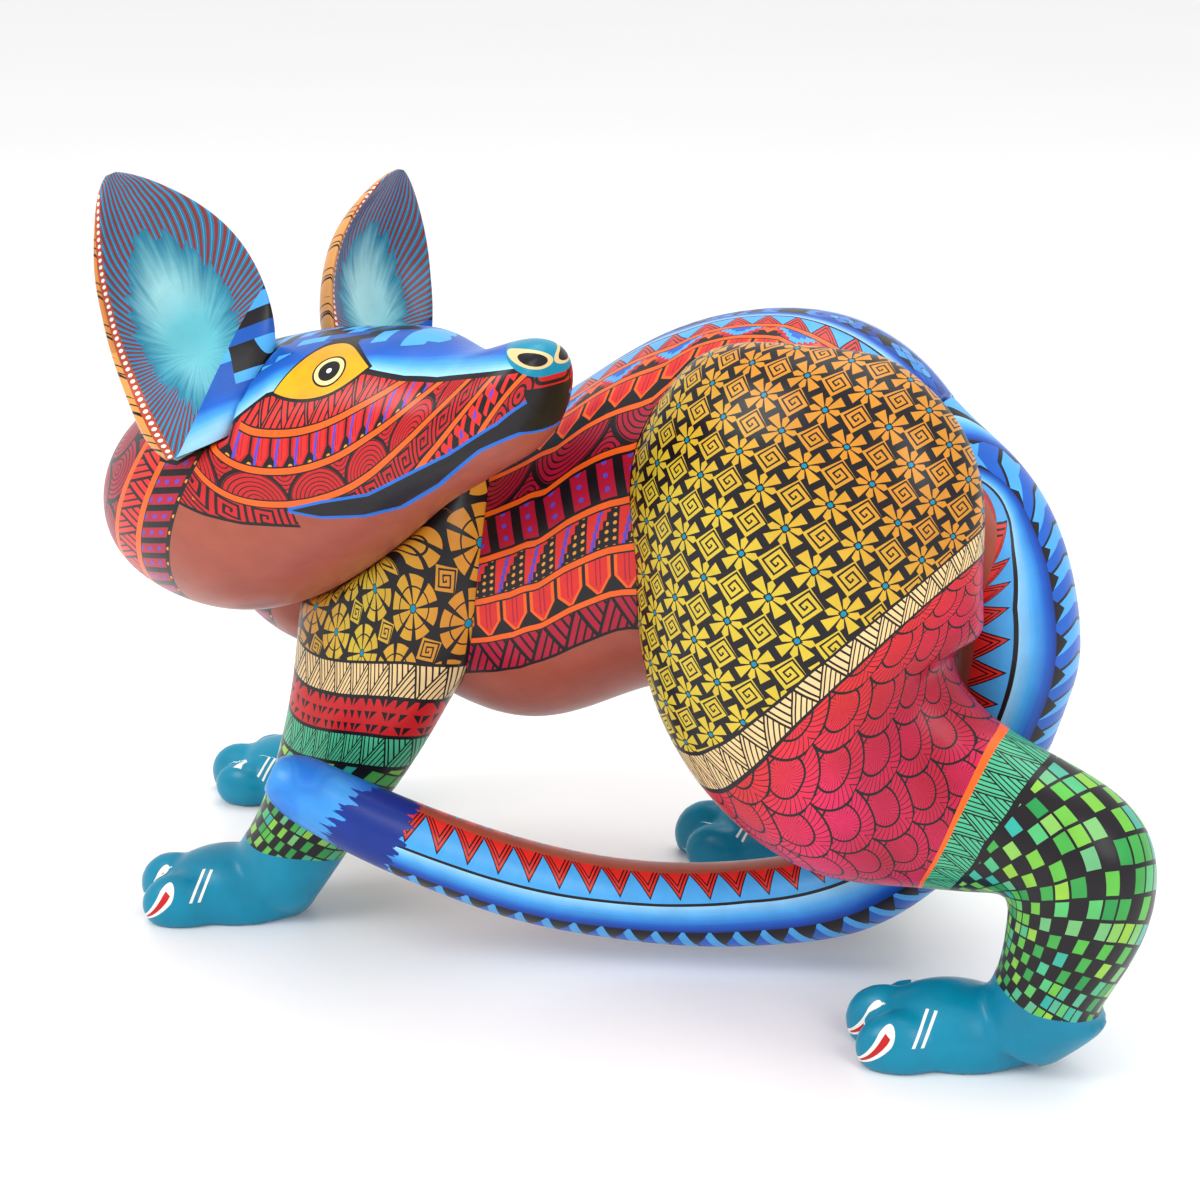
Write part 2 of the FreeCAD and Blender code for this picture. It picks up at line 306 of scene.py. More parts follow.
def srgb(red, green, blue):
    """A colour given as 0 to 255, turned linear."""
    shares = [channel / 255 for channel in (red, green, blue)]
    linear = [s / 12.92 if s <= 0.04045 else ((s + 0.055) / 1.055) ** 2.4 for s in shares]
    return (*linear, 1.0)


class Value:
    """A number, vector or colour in the graph that is being made. Comparisons and logic give 0 or 1."""
    tree = None

    def __init__(self, socket):
        self.socket = socket


def feed(socket, value):
    if isinstance(value, Value):
        Value.tree.links.new(value.socket, socket)
    else:
        socket.default_value = value


def calc(operation, *values):
    node = Value.tree.nodes.new("ShaderNodeMath")
    node.operation = operation
    for socket, value in zip(node.inputs, values):
        feed(socket, value)
    return Value(node.outputs[0])


OPERATORS = {"add": "ADD", "sub": "SUBTRACT", "mul": "MULTIPLY", "truediv": "DIVIDE", "mod": "FLOORED_MODULO",
             "lt": "LESS_THAN", "gt": "GREATER_THAN", "and": "MULTIPLY", "or": "MAXIMUM"}
for sign, name in OPERATORS.items():
    setattr(Value, f"__{sign}__", lambda self, other, name=name: calc(name, self, other))
    if sign in ("add", "sub", "mul"):
        setattr(Value, f"__r{sign}__", lambda self, other, name=name: calc(name, other, self))


def operation(name):
    return lambda *values: calc(name, *values)


fract = operation("FRACT")
floor = operation("FLOOR")
size = operation("ABSOLUTE")
larger = operation("MAXIMUM")
smaller = operation("MINIMUM")
root = operation("SQRT")


def distance(x, y):
    return root(x * x + y * y)


def angle(y, x):
    """Turns, from -0.5 to 0.5."""
    return calc("ARCTAN2", y, x) / (2 * math.pi)


def clamp(x):
    return smaller(larger(x, 0.0), 1.0)


def course(x, *points):
    """A piecewise straight curve through given points, as (x, height)."""
    places = [place for place, height in points]
    heights = [height for place, height in points]
    start, reach = places[0], places[-1] - places[0]
    low, span = min(heights), max(max(heights) - min(heights), 1e-6)
    shades = [((place - start) / reach, ((height - low) / span,) * 3 + (1.0,)) for place, height in points]
    return ramp((x - start) / reach, *shades) * span + low


def between(x, low, high):
    return (x > low) & (x < high)


def choose(mask, yes, no):
    """A number from one of two."""
    return no + mask * (yes - no)


def wave(x):
    """A saw of slopes: 1 at whole numbers, 0 half way between."""
    return size(fract(x) - 0.5) * 2


def over(ground, mask, colour):
    node = Value.tree.nodes.new("ShaderNodeMix")
    node.data_type = "RGBA"
    feed(node.inputs[0], mask)
    feed(node.inputs[6], ground)
    feed(node.inputs[7], colour)
    return Value(node.outputs[2])


def ramp(value, *stops):
    node = Value.tree.nodes.new("ShaderNodeValToRGB")
    feed(node.inputs[0], value)
    elements = node.color_ramp.elements
    elements[0].position, elements[-1].position = stops[0][0], stops[-1][0]
    for place, _ in stops[1:-1]:
        elements.new(place)
    for element, (place, colour) in zip(elements, stops):
        element.position = place
        element.color = colour
    return Value(node.outputs[0])


def stored(name):
    """A number kept on the mesh."""
    node = Value.tree.nodes.new("ShaderNodeAttribute")
    node.attribute_name = name
    return Value(node.outputs["Fac"])


def stored_vector(name):
    node = Value.tree.nodes.new("ShaderNodeAttribute")
    node.attribute_name = name
    return parts_of(Value(node.outputs["Vector"]))


def stored_turn():
    node = Value.tree.nodes.new("ShaderNodeUVMap")
    node.uv_map = "turn"
    turn, along, _ = parts_of(Value(node.outputs["UV"]))
    return turn, along


def parts_of(vector):
    node = Value.tree.nodes.new("ShaderNodeSeparateXYZ")
    feed(node.inputs[0], vector)
    return [Value(socket) for socket in node.outputs]


def vector_of(x, y, z=0.0):
    node = Value.tree.nodes.new("ShaderNodeCombineXYZ")
    for socket, value in zip(node.inputs, (x, y, z)):
        feed(socket, value)
    return Value(node.outputs[0])


def noise(scale, vector=None, detail=2.0):
    """Smooth noise about 0.5; scale is in waves per metre on the object, or per unit of the vector."""
    node = Value.tree.nodes.new("ShaderNodeTexNoise")
    node.inputs["Scale"].default_value = scale
    node.inputs["Detail"].default_value = detail
    if vector is None:
        place = Value.tree.nodes.new("ShaderNodeTexCoord")
        vector = Value(place.outputs["Object"])
    feed(node.inputs["Vector"], vector)
    return Value(node.outputs[0])


def random_cell(i, j):
    """A random number from 0 to 1 for each cell of a grid."""
    node = Value.tree.nodes.new("ShaderNodeTexWhiteNoise")
    node.noise_dimensions = "2D"
    feed(node.inputs["Vector"], vector_of(i, j))
    return Value(node.outputs[0])


def painted(name, colour_of, rough=0.33, coat=0.12):
    """A satin hand-painted finish with brushed shades and fine relief; colour_of() draws the colours."""
    material = bpy.data.materials.new(name)
    material.use_nodes = True
    tree = material.node_tree
    tree.nodes.clear()
    Value.tree = tree
    colour = colour_of()
    brushed = noise(140.0, detail=5.0)
    shade = calc("MULTIPLY_ADD", brushed, 0.36, 0.82)
    tint = tree.nodes.new("ShaderNodeMix")
    tint.data_type = "RGBA"
    tint.blend_type = "MULTIPLY"
    tint.inputs[0].default_value = 1.0
    feed(tint.inputs[6], colour)
    feed(tint.inputs[7], vector_of(shade, shade, shade))
    shader = tree.nodes.new("ShaderNodeBsdfPrincipled")
    feed(shader.inputs["Base Color"], Value(tint.outputs[2]))
    feed(shader.inputs["Roughness"], calc("MULTIPLY_ADD", noise(60.0), 0.22, rough - 0.11))
    shader.inputs["Coat Weight"].default_value = coat
    shader.inputs["Coat Roughness"].default_value = 0.22
    shader.inputs["Specular IOR Level"].default_value = 0.24
    bump = tree.nodes.new("ShaderNodeBump")
    bump.inputs["Strength"].default_value = 0.10
    bump.inputs["Distance"].default_value = 0.0006
    feed(bump.inputs["Height"], noise(420.0, detail=3.0))
    feed(shader.inputs["Normal"], Value(bump.outputs[0]))
    output = tree.nodes.new("ShaderNodeOutputMaterial")
    tree.links.new(shader.outputs[0], output.inputs[0])
    return material


# -------- colours of the paint

INK = srgb(20, 16, 20)
SOOT = srgb(34, 30, 36)
TERRACOTTA = srgb(158, 78, 60)
ORANGE = srgb(236, 96, 24)
RED = srgb(190, 26, 30)
SCARLET = srgb(214, 42, 36)
CRIMSON = srgb(168, 20, 50)
MAGENTA = srgb(214, 26, 92)
GOLD = srgb(206, 180, 50)
AMBER = srgb(200, 132, 36)
CREAM = srgb(228, 196, 140)
MINT = srgb(70, 176, 132)
TEAL = srgb(0, 132, 164)
SKY = srgb(70, 160, 226)
BLUE = srgb(24, 90, 188)
DEEP_BLUE = srgb(16, 46, 134)
VIOLET = srgb(84, 70, 190)
WHITE = srgb(236, 236, 228)
BEAD = srgb(226, 150, 60)
PALE_BLUE = srgb(150, 206, 240)
DARK_TEAL = srgb(0, 112, 144)
HEAD_BLUE = srgb(18, 80, 168)
SKY_EDGE = srgb(30, 108, 206)
EYE_YELLOW = srgb(232, 176, 20)
ORANGE_GOLD = srgb(226, 120, 16)
IRIS = srgb(240, 220, 150)
TEAL_PAINT = srgb(22, 116, 146)
PALE_TEAL = srgb(92, 176, 188)
WHITE_TEAL = srgb(160, 208, 210)
EAR_RED = srgb(132, 44, 44)
EAR_RIM = srgb(176, 72, 40)
EAR_OCHRE = srgb(196, 126, 58)
PALE_OCHRE = srgb(214, 150, 78)
GREENS = ((0.0, srgb(34, 140, 70)), (0.35, srgb(84, 176, 66)), (0.6, srgb(140, 190, 62)),
          (0.8, srgb(40, 160, 150)), (1.0, srgb(90, 184, 90)))
WOOD = ((0.3, srgb(196, 150, 98)), (0.7, srgb(222, 184, 130)))
STEEL = ((0.3, srgb(140, 142, 146)), (0.7, srgb(176, 178, 182)))
FLOOR = ((0.3, (0.93, 0.93, 0.93, 1)), (0.7, (0.95, 0.95, 0.95, 1)))


# -------- painted motifs, in millimetres on the surface

def hatched_teeth(u, v, width, base, strokes, ground):
    """Triangles filled with slanted strokes, leaning left and right by turns, in a band of this width."""
    q = v / width
    p = u / base
    tooth = wave(p)
    lean = choose(tooth < q, 0.5, -0.5)
    ink = (fract((p + lean * q) * strokes) < 0.30) | (size(tooth - q) < 0.07)
    return over(ground, ink, INK)


def lobes(u, v, cell):
    """Overlapping round lobes about the corners of a grid. Gives the distance from the first corner, the
    distance from the corner of the lobe on top, and turns about that corner."""
    i = floor(u / cell)
    j = floor(v / cell)
    x = size(u / cell - i - (i + j) % 2.0)
    y = v / cell - j
    near = distance(x, y)
    inner = near < 1.0
    reach = choose(inner, near, distance(1.0 - x, 1.0 - y))
    return near, reach, choose(inner, angle(y, x), angle(1.0 - y, 1.0 - x))


def fans(u, v, cell, pitch, ground, edge=0.06, ink=0.30):
    """Lobes filled with curved strokes about their corners."""
    near, reach, _ = lobes(u, v, cell)
    lines = (fract(reach * (cell / pitch)) < ink) | (size(near - 1.0) < edge)
    return over(ground, lines, INK)


def swirls(u, v, cell, ground):
    """Lobes with strokes that run out from their corners."""
    near, reach, turned = lobes(u, v, cell)
    strokes = fract((turned * 4.0 + reach * 0.35) * 8.0) < 0.16
    lines = (size(near - 1.0) < 0.035) | (size(reach - 0.55) < 0.03) | strokes
    return over(ground, lines, INK)


def key_line(u, v, pitch):
    """Square spirals in a row."""
    x = fract(u / pitch) - 0.5
    y = v / pitch - 0.5
    reach = larger(size(x), size(y))
    return fract(reach * 5.0 - angle(y, x)) < 0.42


def spiral_and_wheel(u, v, width, height, bright, coil_half, round_petals=False):
    """Gold on black: square spirals at the corners of a grid, and wheels of eight petals in its cells."""
    x = fract(u / width) - 0.5
    y = fract(v / height) - 0.5
    reach = larger(size(x), size(y))
    coil = (reach < coil_half) & (fract(reach * (2.4 / coil_half) - angle(y, x) + 0.1) > 0.36)
    a = fract(u / width + 0.5) - 0.5
    b = fract(v / height + 0.5) - 0.5
    around = angle(b, a)
    sector = fract(around * 8.0 + 0.5)
    if round_petals:
        extent = distance(a, b)
        petal = (extent < 0.46) & (extent > 0.07) & (size(extent - 0.30) > 0.012)
    else:
        extent = larger(size(a), size(b))
        limit = choose(fract(around * 4.0 + 0.25) < 0.5, 0.42, 0.25)
        petal = (extent < limit) & (extent > 0.08)
    petal = petal & between(sector, 0.13, 0.87)
    picture = over(INK, petal, bright)
    picture = over(picture, coil, bright)
    return over(picture, distance(a, b) < 0.055, TEAL)


def shards_of(u, v):
    """Small black triangles scattered in a grid."""
    row = floor(v)
    shifted = u + row * 0.37
    x = fract(shifted)
    y = fract(v)
    flip = random_cell(floor(shifted), row) > 0.5
    x = choose(flip, 1.0 - x, x)
    return ((x + y) < 0.88) & (x > 0.10) & (y > 0.10)


def square_checks(turn, along, columns, rise, cell):
    """Small green squares with black ones among them, slanted round a limb."""
    p = turn * columns + along / cell * 0.45
    q = along / cell - turn * rise
    i = floor(p)
    lap = floor(i / columns)
    column = i - lap * columns
    row = floor(q) + lap * rise
    chance = random_cell(column, row)
    tone = random_cell(column + 57.0, row)
    green = ramp(tone, *GREENS)
    dark = ((column + row) % 2.0 > 0.5) & (chance < 0.72)
    edges = larger(size(fract(p) - 0.5), size(fract(q) - 0.5)) > 0.42
    return over(green, dark | edges, INK)


def feathers(u, q, pitch, outer, inner, ground=INK):
    """Pointed feathers hanging side by side; q runs from 0 at their roots to 1 at their tips."""
    x = size(fract(u / pitch) - 0.5)
    half = smaller(0.44, (0.97 - q) * 1.1)
    picture = over(ground, x < half, outer)
    picture = over(picture, x < half - 0.11, inner)
    return over(picture, between(x, 0.05, 0.10) & (q < 0.7), CRIMSON)


def beads(u, q, pitch, place, radius, tall):
    """A row of dots; tall is the height of the band that q spans."""
    return distance((fract(u / pitch) - 0.5) * pitch, (q - place) * tall) < radius


def slanted_tiles(u, q, pitch, tall):
    """Leaning crimson tiles with violet dots, between two rows of beads."""
    x = fract(u / pitch - q * 0.55)
    tile = between(x, 0.2, 0.82) & between(q, 0.12, 0.88)
    picture = over(INK, tile, CRIMSON)
    spots = distance((x - 0.5) * pitch, (fract(q * 3.6) - 0.5) * tall / 3.6) < 0.75
    picture = over(picture, tile & spots, VIOLET)
    lower_row = beads(u, q, pitch, 0.05, 0.6, tall)
    upper_row = beads(u + pitch / 2, q, pitch, 0.95, 0.6, tall)
    return over(picture, lower_row | upper_row, BEAD)


def stepped_teeth(u, q, pitch):
    """Red teeth with a stepped edge and a violet stripe, and dots between them."""
    x = fract(u / pitch)
    edge = 0.72 - floor(q * 6.0) * 0.11
    picture = over(INK, x < edge, SCARLET)
    picture = over(picture, size(x - edge * 0.5 - 0.06) < 0.06, VIOLET)
    spots = (x > edge + 0.1) & (distance(fract(x * 4.0) - 0.5, fract(q * 6.0) - 0.5) < 0.24)
    return over(picture, spots, BEAD)


def clouds(u, q, pitch):
    """Stepped clouds, blue in red on black, with orange steps between them."""
    x = size(fract(u / pitch) - 0.5) * 2
    step = floor(x * 6.0) / 6.0
    rise = q + step
    picture = over(INK, rise < 1.15, RED)
    picture = over(picture, rise < 0.85, SKY)
    picture = over(picture, rise < 0.55, BLUE)
    return over(picture, size(q - 0.30 - wave(u / pitch * 5.0) * 0.2) < (x - 0.62) * 0.5, ORANGE)


def spiral_fins(u, q, pitch):
    """Leaning red triangles with a black coil, on light blue. q is 0 at their roots and 1 at their points."""
    x = fract(u / pitch) - 0.5 + q * 0.22
    depth = (1.0 - q) * 0.5 - size(x)
    picture = over(SKY, depth > -0.05, INK)
    picture = over(picture, depth > 0.0, SCARLET)
    return over(picture, between(depth, 0.07, 0.12) | between(depth, 0.19, 0.24), INK)


def streaks(u, q, *stops):
    """Long brush strokes along the piece, shading across it."""
    wander = noise(1.0, vector_of(u / 38.0, q * 26.0), detail=3.0) - 0.5
    return ramp(q + wander * 0.16, *stops)


def scales(u, v, cell):
    """Small lozenges in two blues and black."""
    p = u / cell + v / cell
    q = u / cell - v / cell
    chance = random_cell(floor(p), floor(q))
    picture = ramp(chance, (0.0, SKY), (0.4, BLUE), (0.62, DEEP_BLUE), (0.66, INK))
    edges = larger(size(fract(p) - 0.5), size(fract(q) - 0.5)) > 0.46
    return over(picture, edges, INK)


def band(picture, place, low, high, drawing):
    """Adds a drawing that fills a band; the drawing is a function of the share across the band."""
    mask = between(place, low, high)
    share = (place - low) / (high - low)
    return over(picture, mask, drawing(share))


def stripe(picture, place, middle, width, colour):
    return over(picture, size(place - middle) < width / 2, colour)


# -------- the trunk

HALF_GIRTH = 158.0        # millimetres from the ridge of the back round to the belly
RUMP_X = 92.0             # behind here the sides of the trunk are bare
RUMP_TAPER = (55.0, 42.0) # where the bands start to crowd towards the ridge, and over what length
NECK_SIDE = -10.0         # the part of the head piece beyond this is the neck, painted like the trunk
TRUNK_SLICES = 39

# Where the painted bands of the trunk meet, in shares of the way from the ridge to the belly
SCALE_END = 0.03
BLUE_END = 0.065
FIN_END = 0.125
CLOUD_END = 0.177
UPPER_FEATHER_END = 0.255
FAN_END = 0.335
TILE_END = 0.425
STEP_END = 0.505
LOWER_FEATHER_END = 0.585
HATCH_END = 0.662
ORANGE_LINES = (FIN_END, CLOUD_END, UPPER_FEATHER_END, FAN_END, TILE_END, STEP_END, LOWER_FEATHER_END)


def trunk_colours():
    x = stored("lengthwise")
    t = stored("share_round") + (noise(30.0) - 0.5) * 0.006
    t = t / (1.0 + clamp((x - RUMP_TAPER[0]) / RUMP_TAPER[1]) * 0.9)
    fan_tall = (FAN_END - UPPER_FEATHER_END) * HALF_GIRTH
    tile_tall = (TILE_END - FAN_END) * HALF_GIRTH
    hatch_tall = (HATCH_END - LOWER_FEATHER_END) * HALF_GIRTH
    drawings = (
        (SCALE_END, BLUE_END, lambda q: streaks(x, q, (0.0, DEEP_BLUE), (0.35, BLUE), (0.95, PALE_BLUE))),
        (BLUE_END, FIN_END, lambda q: spiral_fins(x, 1.0 - q, 9.0)),
        (FIN_END, CLOUD_END, lambda q: clouds(x, q, 17.0)),
        (CLOUD_END, UPPER_FEATHER_END, lambda q: feathers(x, q * 1.15, 8.0, ORANGE, SCARLET)),
        (UPPER_FEATHER_END, FAN_END, lambda q: fans(x, q * fan_tall, 12.6, 1.6, CRIMSON)),
        (FAN_END, TILE_END, lambda q: slanted_tiles(x, q, 8.2, tile_tall)),
        (TILE_END, STEP_END, lambda q: stepped_teeth(x, q, 10.0)),
        (STEP_END, LOWER_FEATHER_END, lambda q: feathers(x, q, 9.0, ORANGE, SCARLET)),
        (LOWER_FEATHER_END, HATCH_END, lambda q: hatched_teeth(
            x, q * hatch_tall, hatch_tall, 11.0, 4.0, CRIMSON)),
    )
    picture = over(TERRACOTTA, t < SCALE_END, scales(x, t * HALF_GIRTH, 4.5))
    for low, high, drawing in drawings:
        picture = band(picture, t, low, high, drawing)
    for place in ORANGE_LINES:
        picture = stripe(picture, t, place, 0.017, INK)
        picture = stripe(picture, t, place, 0.011, ORANGE)
    picture = stripe(picture, t, BLUE_END, 0.006, INK)
    picture = stripe(picture, t, HATCH_END, 0.007, INK)
    return over(picture, (x > RUMP_X) & (t > FIN_END), TERRACOTTA)


def put_trunk_place(mesh):
    """The share of the way from the ridge of the back to the belly, and the distance along the trunk."""
    points = points_of(mesh)
    body = points_of(frame["nodes"]["trunk"].data)
    bins = np.linspace(body[:, 0].min(), body[:, 0].max(), TRUNK_SLICES + 1)
    owner = np.clip(np.searchsorted(bins, body[:, 0]) - 1, 0, TRUNK_SLICES - 1)
    middle, half, wide = np.zeros(TRUNK_SLICES), np.zeros(TRUNK_SLICES), np.zeros(TRUNK_SLICES)
    side_middle = (body[:, 1].min() + body[:, 1].max()) / 2
    for b in range(TRUNK_SLICES):
        own = body[owner == b]
        if len(own):
            middle[b] = (own[:, 2].min() + own[:, 2].max()) / 2
            half[b] = (own[:, 2].max() - own[:, 2].min()) / 2
            wide[b] = (own[:, 1].max() - own[:, 1].min()) / 2
    filled = half > 1
    here = ((bins[:-1] + bins[1:]) / 2)[filled]
    middle = np.interp(points[:, 0], here, middle[filled])
    half = np.interp(points[:, 0], here, half[filled])
    wide = np.interp(points[:, 0], here, wide[filled])
    turn = np.arctan2((points[:, 1] - side_middle) / wide, (points[:, 2] - middle) / half)
    put(mesh, "lengthwise", points[:, 0])
    put(mesh, "share_round", np.abs(turn) / math.pi)


def make_trunk(paint):
    piece = skin("trunk", "painted_trunk")
    put_trunk_place(piece.data)
    piece.data.materials.append(paint)
    finish_piece(piece, "carving", "trunk_paint", "trunk")


# -------- the legs

# Rough course of each leg from its top to its ankle, as shares of its length and height
LEG_COURSES = {
    "left_hind_leg": (
        (0.30, 0.99), (0.33, 0.72), (0.36, 0.55), (0.45, 0.43), (0.66, 0.375),
        (0.85, 0.33), (0.87, 0.22), (0.84, 0.10), (0.76, 0.02)),
    "right_hind_leg": (
        (0.55, 0.99), (0.55, 0.88), (0.60, 0.66), (0.70, 0.46), (0.73, 0.35),
        (0.69, 0.26), (0.60, 0.16), (0.50, 0.05)),
    "left_front_leg": (
        (0.72, 0.99), (0.74, 0.82), (0.72, 0.68), (0.66, 0.50), (0.56, 0.35),
        (0.49, 0.24), (0.41, 0.13), (0.35, 0.05)),
    "right_front_leg": (
        (0.84, 0.97), (0.80, 0.82), (0.74, 0.69), (0.67, 0.56), (0.58, 0.44),
        (0.50, 0.33), (0.41, 0.22), (0.35, 0.05)),
}
# Where the painted bands of each leg end, in millimetres along it: gold, cream, red, mint, green
LEG_BANDS = {
    "left_hind_leg": (74.0, 84.0, 147.5, 159.0, 215.0),
    "right_hind_leg": (68.0, 77.0, 112.0, 122.0, 152.0),
    "left_front_leg": (66.5, 78.0, 90.5, 101.5, 140.0),
    "right_front_leg": (74.0, 86.0, 100.0, 112.0, 148.0),
}
# Each paw: turn outwards from straight ahead in degrees, and size
PAWS = {
    "left_hind_leg": (14.0, 0.86),
    "right_hind_leg": (3.0, 0.92),
    "left_front_leg": (20.0, 0.85),
    "right_front_leg": (3.0, 0.85),
}
# Each toe: behind the foremost one, outwards of it, and its half width, before the paw's size is applied
TOES = ((-5.0, 17.0, 9.0), (0.0, 0.0, 8.5), (-10.0, -12.0, 7.0))
TOE_HEIGHT = 14.0         # the paw's foremost point is below this height
EVENING = 120             # rounds of evening out the legs' coordinates
OUTER_MIDDLE = (0.36, 0.68)   # middle of a limb's outer side, in shares of the leg's length and height
CLAW_START = (-0.5, 1.5)  # lower end of a claw, behind the toe's tip and above the floor
CLAW_LENGTH = 16.2
CLAW_MIDDLE = 8.0          # where the claw bows out most
CLAW_ROUND = 12.0         # from here to its upper end the claw rounds off
CLAW_SLOPE = (0.65, 0.76)


def leg_colours(node):
    gold_end, cream_end, red_end, mint_end, green_end = LEG_BANDS[node]
    turn, along = stored_turn()
    spread, sine, cosine = stored_vector("round_leg")
    if "hind" in node:
        fade = clamp((red_end + 3.0 - along) / 60.0)
        slanted = along + (sine * 19.8 - cosine * 13.7) * fade
        cream_teeth, mint_teeth, columns, border, border_width = 26, 18, 30, ORANGE, 1.8
    else:
        slanted = along + sine * 5.5
        cream_teeth, mint_teeth, columns, border, border_width = 15, 15, 24, INK, 1.2
    slanted = slanted + (noise(40.0) - 0.5) * 2.0
    depth = slanted - cream_end
    cream = hatched_teeth(turn * cream_teeth, cream_end - slanted, cream_end - gold_end, 1.0, 5.0, CREAM)
    mint = hatched_teeth(turn * mint_teeth, mint_end - slanted, mint_end - red_end, 1.0, 5.0, MINT)
    paw = over(TEAL, clamp(noise(18.0) * 2.0 - 0.8), DARK_TEAL)
    picture = over(leg_gold(node, spread, along), slanted > gold_end, cream)
    picture = over(picture, slanted > cream_end, leg_red(node, spread, depth))
    picture = over(picture, slanted > red_end, mint)
    picture = over(picture, slanted > mint_end, square_checks(turn, slanted, columns, 6, 4.6))
    picture = stripe(picture, slanted, gold_end, 1.0, INK)
    picture = stripe(picture, slanted, cream_end, 1.2, INK)
    picture = stripe(picture, slanted, red_end, border_width, border)
    picture = stripe(picture, slanted, mint_end, 1.4, INK)
    return over(picture, slanted > green_end, paw_marks(paw))


def leg_gold(node, spread, along):
    """A lattice of square spirals and wheels, wrapped round the left front leg and flat on the outer side
    of the other legs."""
    if node == "left_front_leg":
        return flower_lattice(spread, along)
    x, z, _ = stored_vector("outer_place")
    if "front" in node:
        return flower_lattice(x, z)
    bright = over(GOLD, clamp((x * 0.6 + z * 0.8) / 44.0), AMBER)
    across = x * 0.80 + z * 0.60 + 3.0
    down = x * 0.575 - z * 0.818 + 2.0
    return spiral_and_wheel(across, down, 15.0, 13.85, bright, 0.27)


def flower_lattice(u, v):
    bright = over(GOLD, clamp(size(u) / 40.0), AMBER)
    return spiral_and_wheel(u + v * 0.15 + 5.0, v - u * 0.15, 20.0, 20.5, bright, 0.17, True)


def leg_red(node, spread, depth):
    """Crimson scales on the hind legs, and black shards on the front legs."""
    if "front" in node:
        return over(RED, shards_of(spread / 4.3, depth / 4.3), INK)
    wander = noise(26.0) * 6.0
    ground = over(CRIMSON, clamp((noise(22.0) - 0.36) * 4.0), MAGENTA)
    ground = over(ground, clamp(1.0 - depth / 30.0) * 0.8, SCARLET)
    return swirls(spread * 0.92 + wander, depth + wander, 10.5, ground)


def paw_marks(ground):
    """On each toe a white claw with a red stripe, low in front and high behind, and two white ticks."""
    aside, behind, height = stored_vector("toe_place")
    outer = aside > -1.5
    back = behind - CLAW_START[0]
    rise = height - CLAW_START[1]
    along_claw = rise * CLAW_SLOPE[1] - back * CLAW_SLOPE[0]
    bend = along_claw - CLAW_MIDDLE
    across_claw = rise * CLAW_SLOPE[0] + back * CLAW_SLOPE[1] - bend * bend * 0.02 + 0.6
    fall = clamp((along_claw - CLAW_ROUND) / (CLAW_LENGTH - CLAW_ROUND))
    half = (clamp(along_claw / CLAW_ROUND) * 1.9 + 0.5) * root(1.0 - fall * fall)
    claw = (size(across_claw) < half) & between(along_claw, 0.0, CLAW_LENGTH) & outer
    core = (size(across_claw) < half * 0.5 - 0.15) & between(along_claw, 2.0, CLAW_LENGTH - 2.6) & outer
    picture = over(ground, claw, WHITE)
    picture = over(picture, core, RED)
    place = behind + 19.0 + (height - 13.0) * 0.35
    ticks = (size(size(place) - 1.2) < 0.45) & between(height, 9.0, 17.5) & (aside > -0.5)
    return over(picture, ticks, WHITE)


def put_toe_place(mesh, node, points):
    """For each point, its place beside, behind and above the tip of the nearest toe."""
    turn, paw_size = PAWS[node]
    outside = -1.0 if node.startswith("left") else 1.0
    heading = math.radians(180.0 - turn * outside)
    ahead = np.array((math.cos(heading), math.sin(heading), 0.0))
    outward = np.array((0.0, outside, 0.0)) - ahead * (ahead[1] * outside)
    outward /= np.linalg.norm(outward)
    low = points[:, 2] < TOE_HEIGHT
    tip = points[low][np.argmax(points[low] @ ahead)]
    best = np.full(len(points), 1e9)
    place = np.zeros((len(points), 3))
    for back, sideways, half_width in TOES:
        offset = points - tip - ahead * back * paw_size - outward * sideways * paw_size
        beside = offset @ outward
        behind = offset @ ahead
        gap = np.abs(beside) / half_width
        closer = gap < best
        best = np.where(closer, gap, best)
        place[closer] = np.stack([beside, behind, points[:, 2]], 1)[closer]
    put(mesh, "toe_place", place)


def put_outer_place(mesh, points):
    """Distances along and up the outer side of a leg, which go on growing where it curls inwards."""
    low, high = points.min(0), points.max(0)
    on_left = low[1] + high[1] < 0
    side = points[:, 1] - low[1] if on_left else high[1] - points[:, 1]
    x = points[:, 0] - (low[0] + OUTER_MIDDLE[0] * (high[0] - low[0]))
    z = points[:, 2] - (low[2] + OUTER_MIDDLE[1] * (high[2] - low[2]))
    reach = np.maximum(np.hypot(x, z), 1.0)
    grown = 1.0 + side * np.clip((reach - 15.0) / 30.0, 0, 1) * 0.7 / reach
    put(mesh, "outer_place", np.stack([x * grown, z * grown, side], 1))


def paw_freedom(points):
    """The thigh's creases are eased more than the creases between the toes."""
    return np.clip((points[:, 2] - 16.0) / 14.0, 0.2, 1.0)


def make_leg(node):
    piece = skin(node, "painted_" + node, voxel=1.3, smoothing=36, hold=paw_freedom)
    points = points_of(piece.data)
    side = 1.0 if node.startswith("left") else -1.0
    path = smooth_path([place_in(node, (x, 0.5, z)) for x, z in LEG_COURSES[node]])
    along, turn, tall, broad = unroll(points, path, LEFTWARD * side, blur=14.0)
    spin = 2 * math.pi * turn
    girth = settle(piece.data, 2 * math.pi * np.sqrt((tall ** 2 + broad ** 2) / 2), EVENING)
    along = settle(piece.data, along, EVENING)
    sine = settle(piece.data, np.sin(spin), EVENING)
    cosine = settle(piece.data, np.cos(spin), EVENING)
    turn = np.arctan2(sine, cosine) / (2 * math.pi)
    put(piece.data, "round_leg", np.stack([turn * girth, sine, cosine], 1))
    put_turn(piece.data, turn, along)
    put_toe_place(piece.data, node, points)
    put_outer_place(piece.data, points)
    piece.data.materials.append(painted(node + "_paint", lambda: leg_colours(node)))
    finish_piece(piece, "carving", "leg_paint", node)


# -------- the head

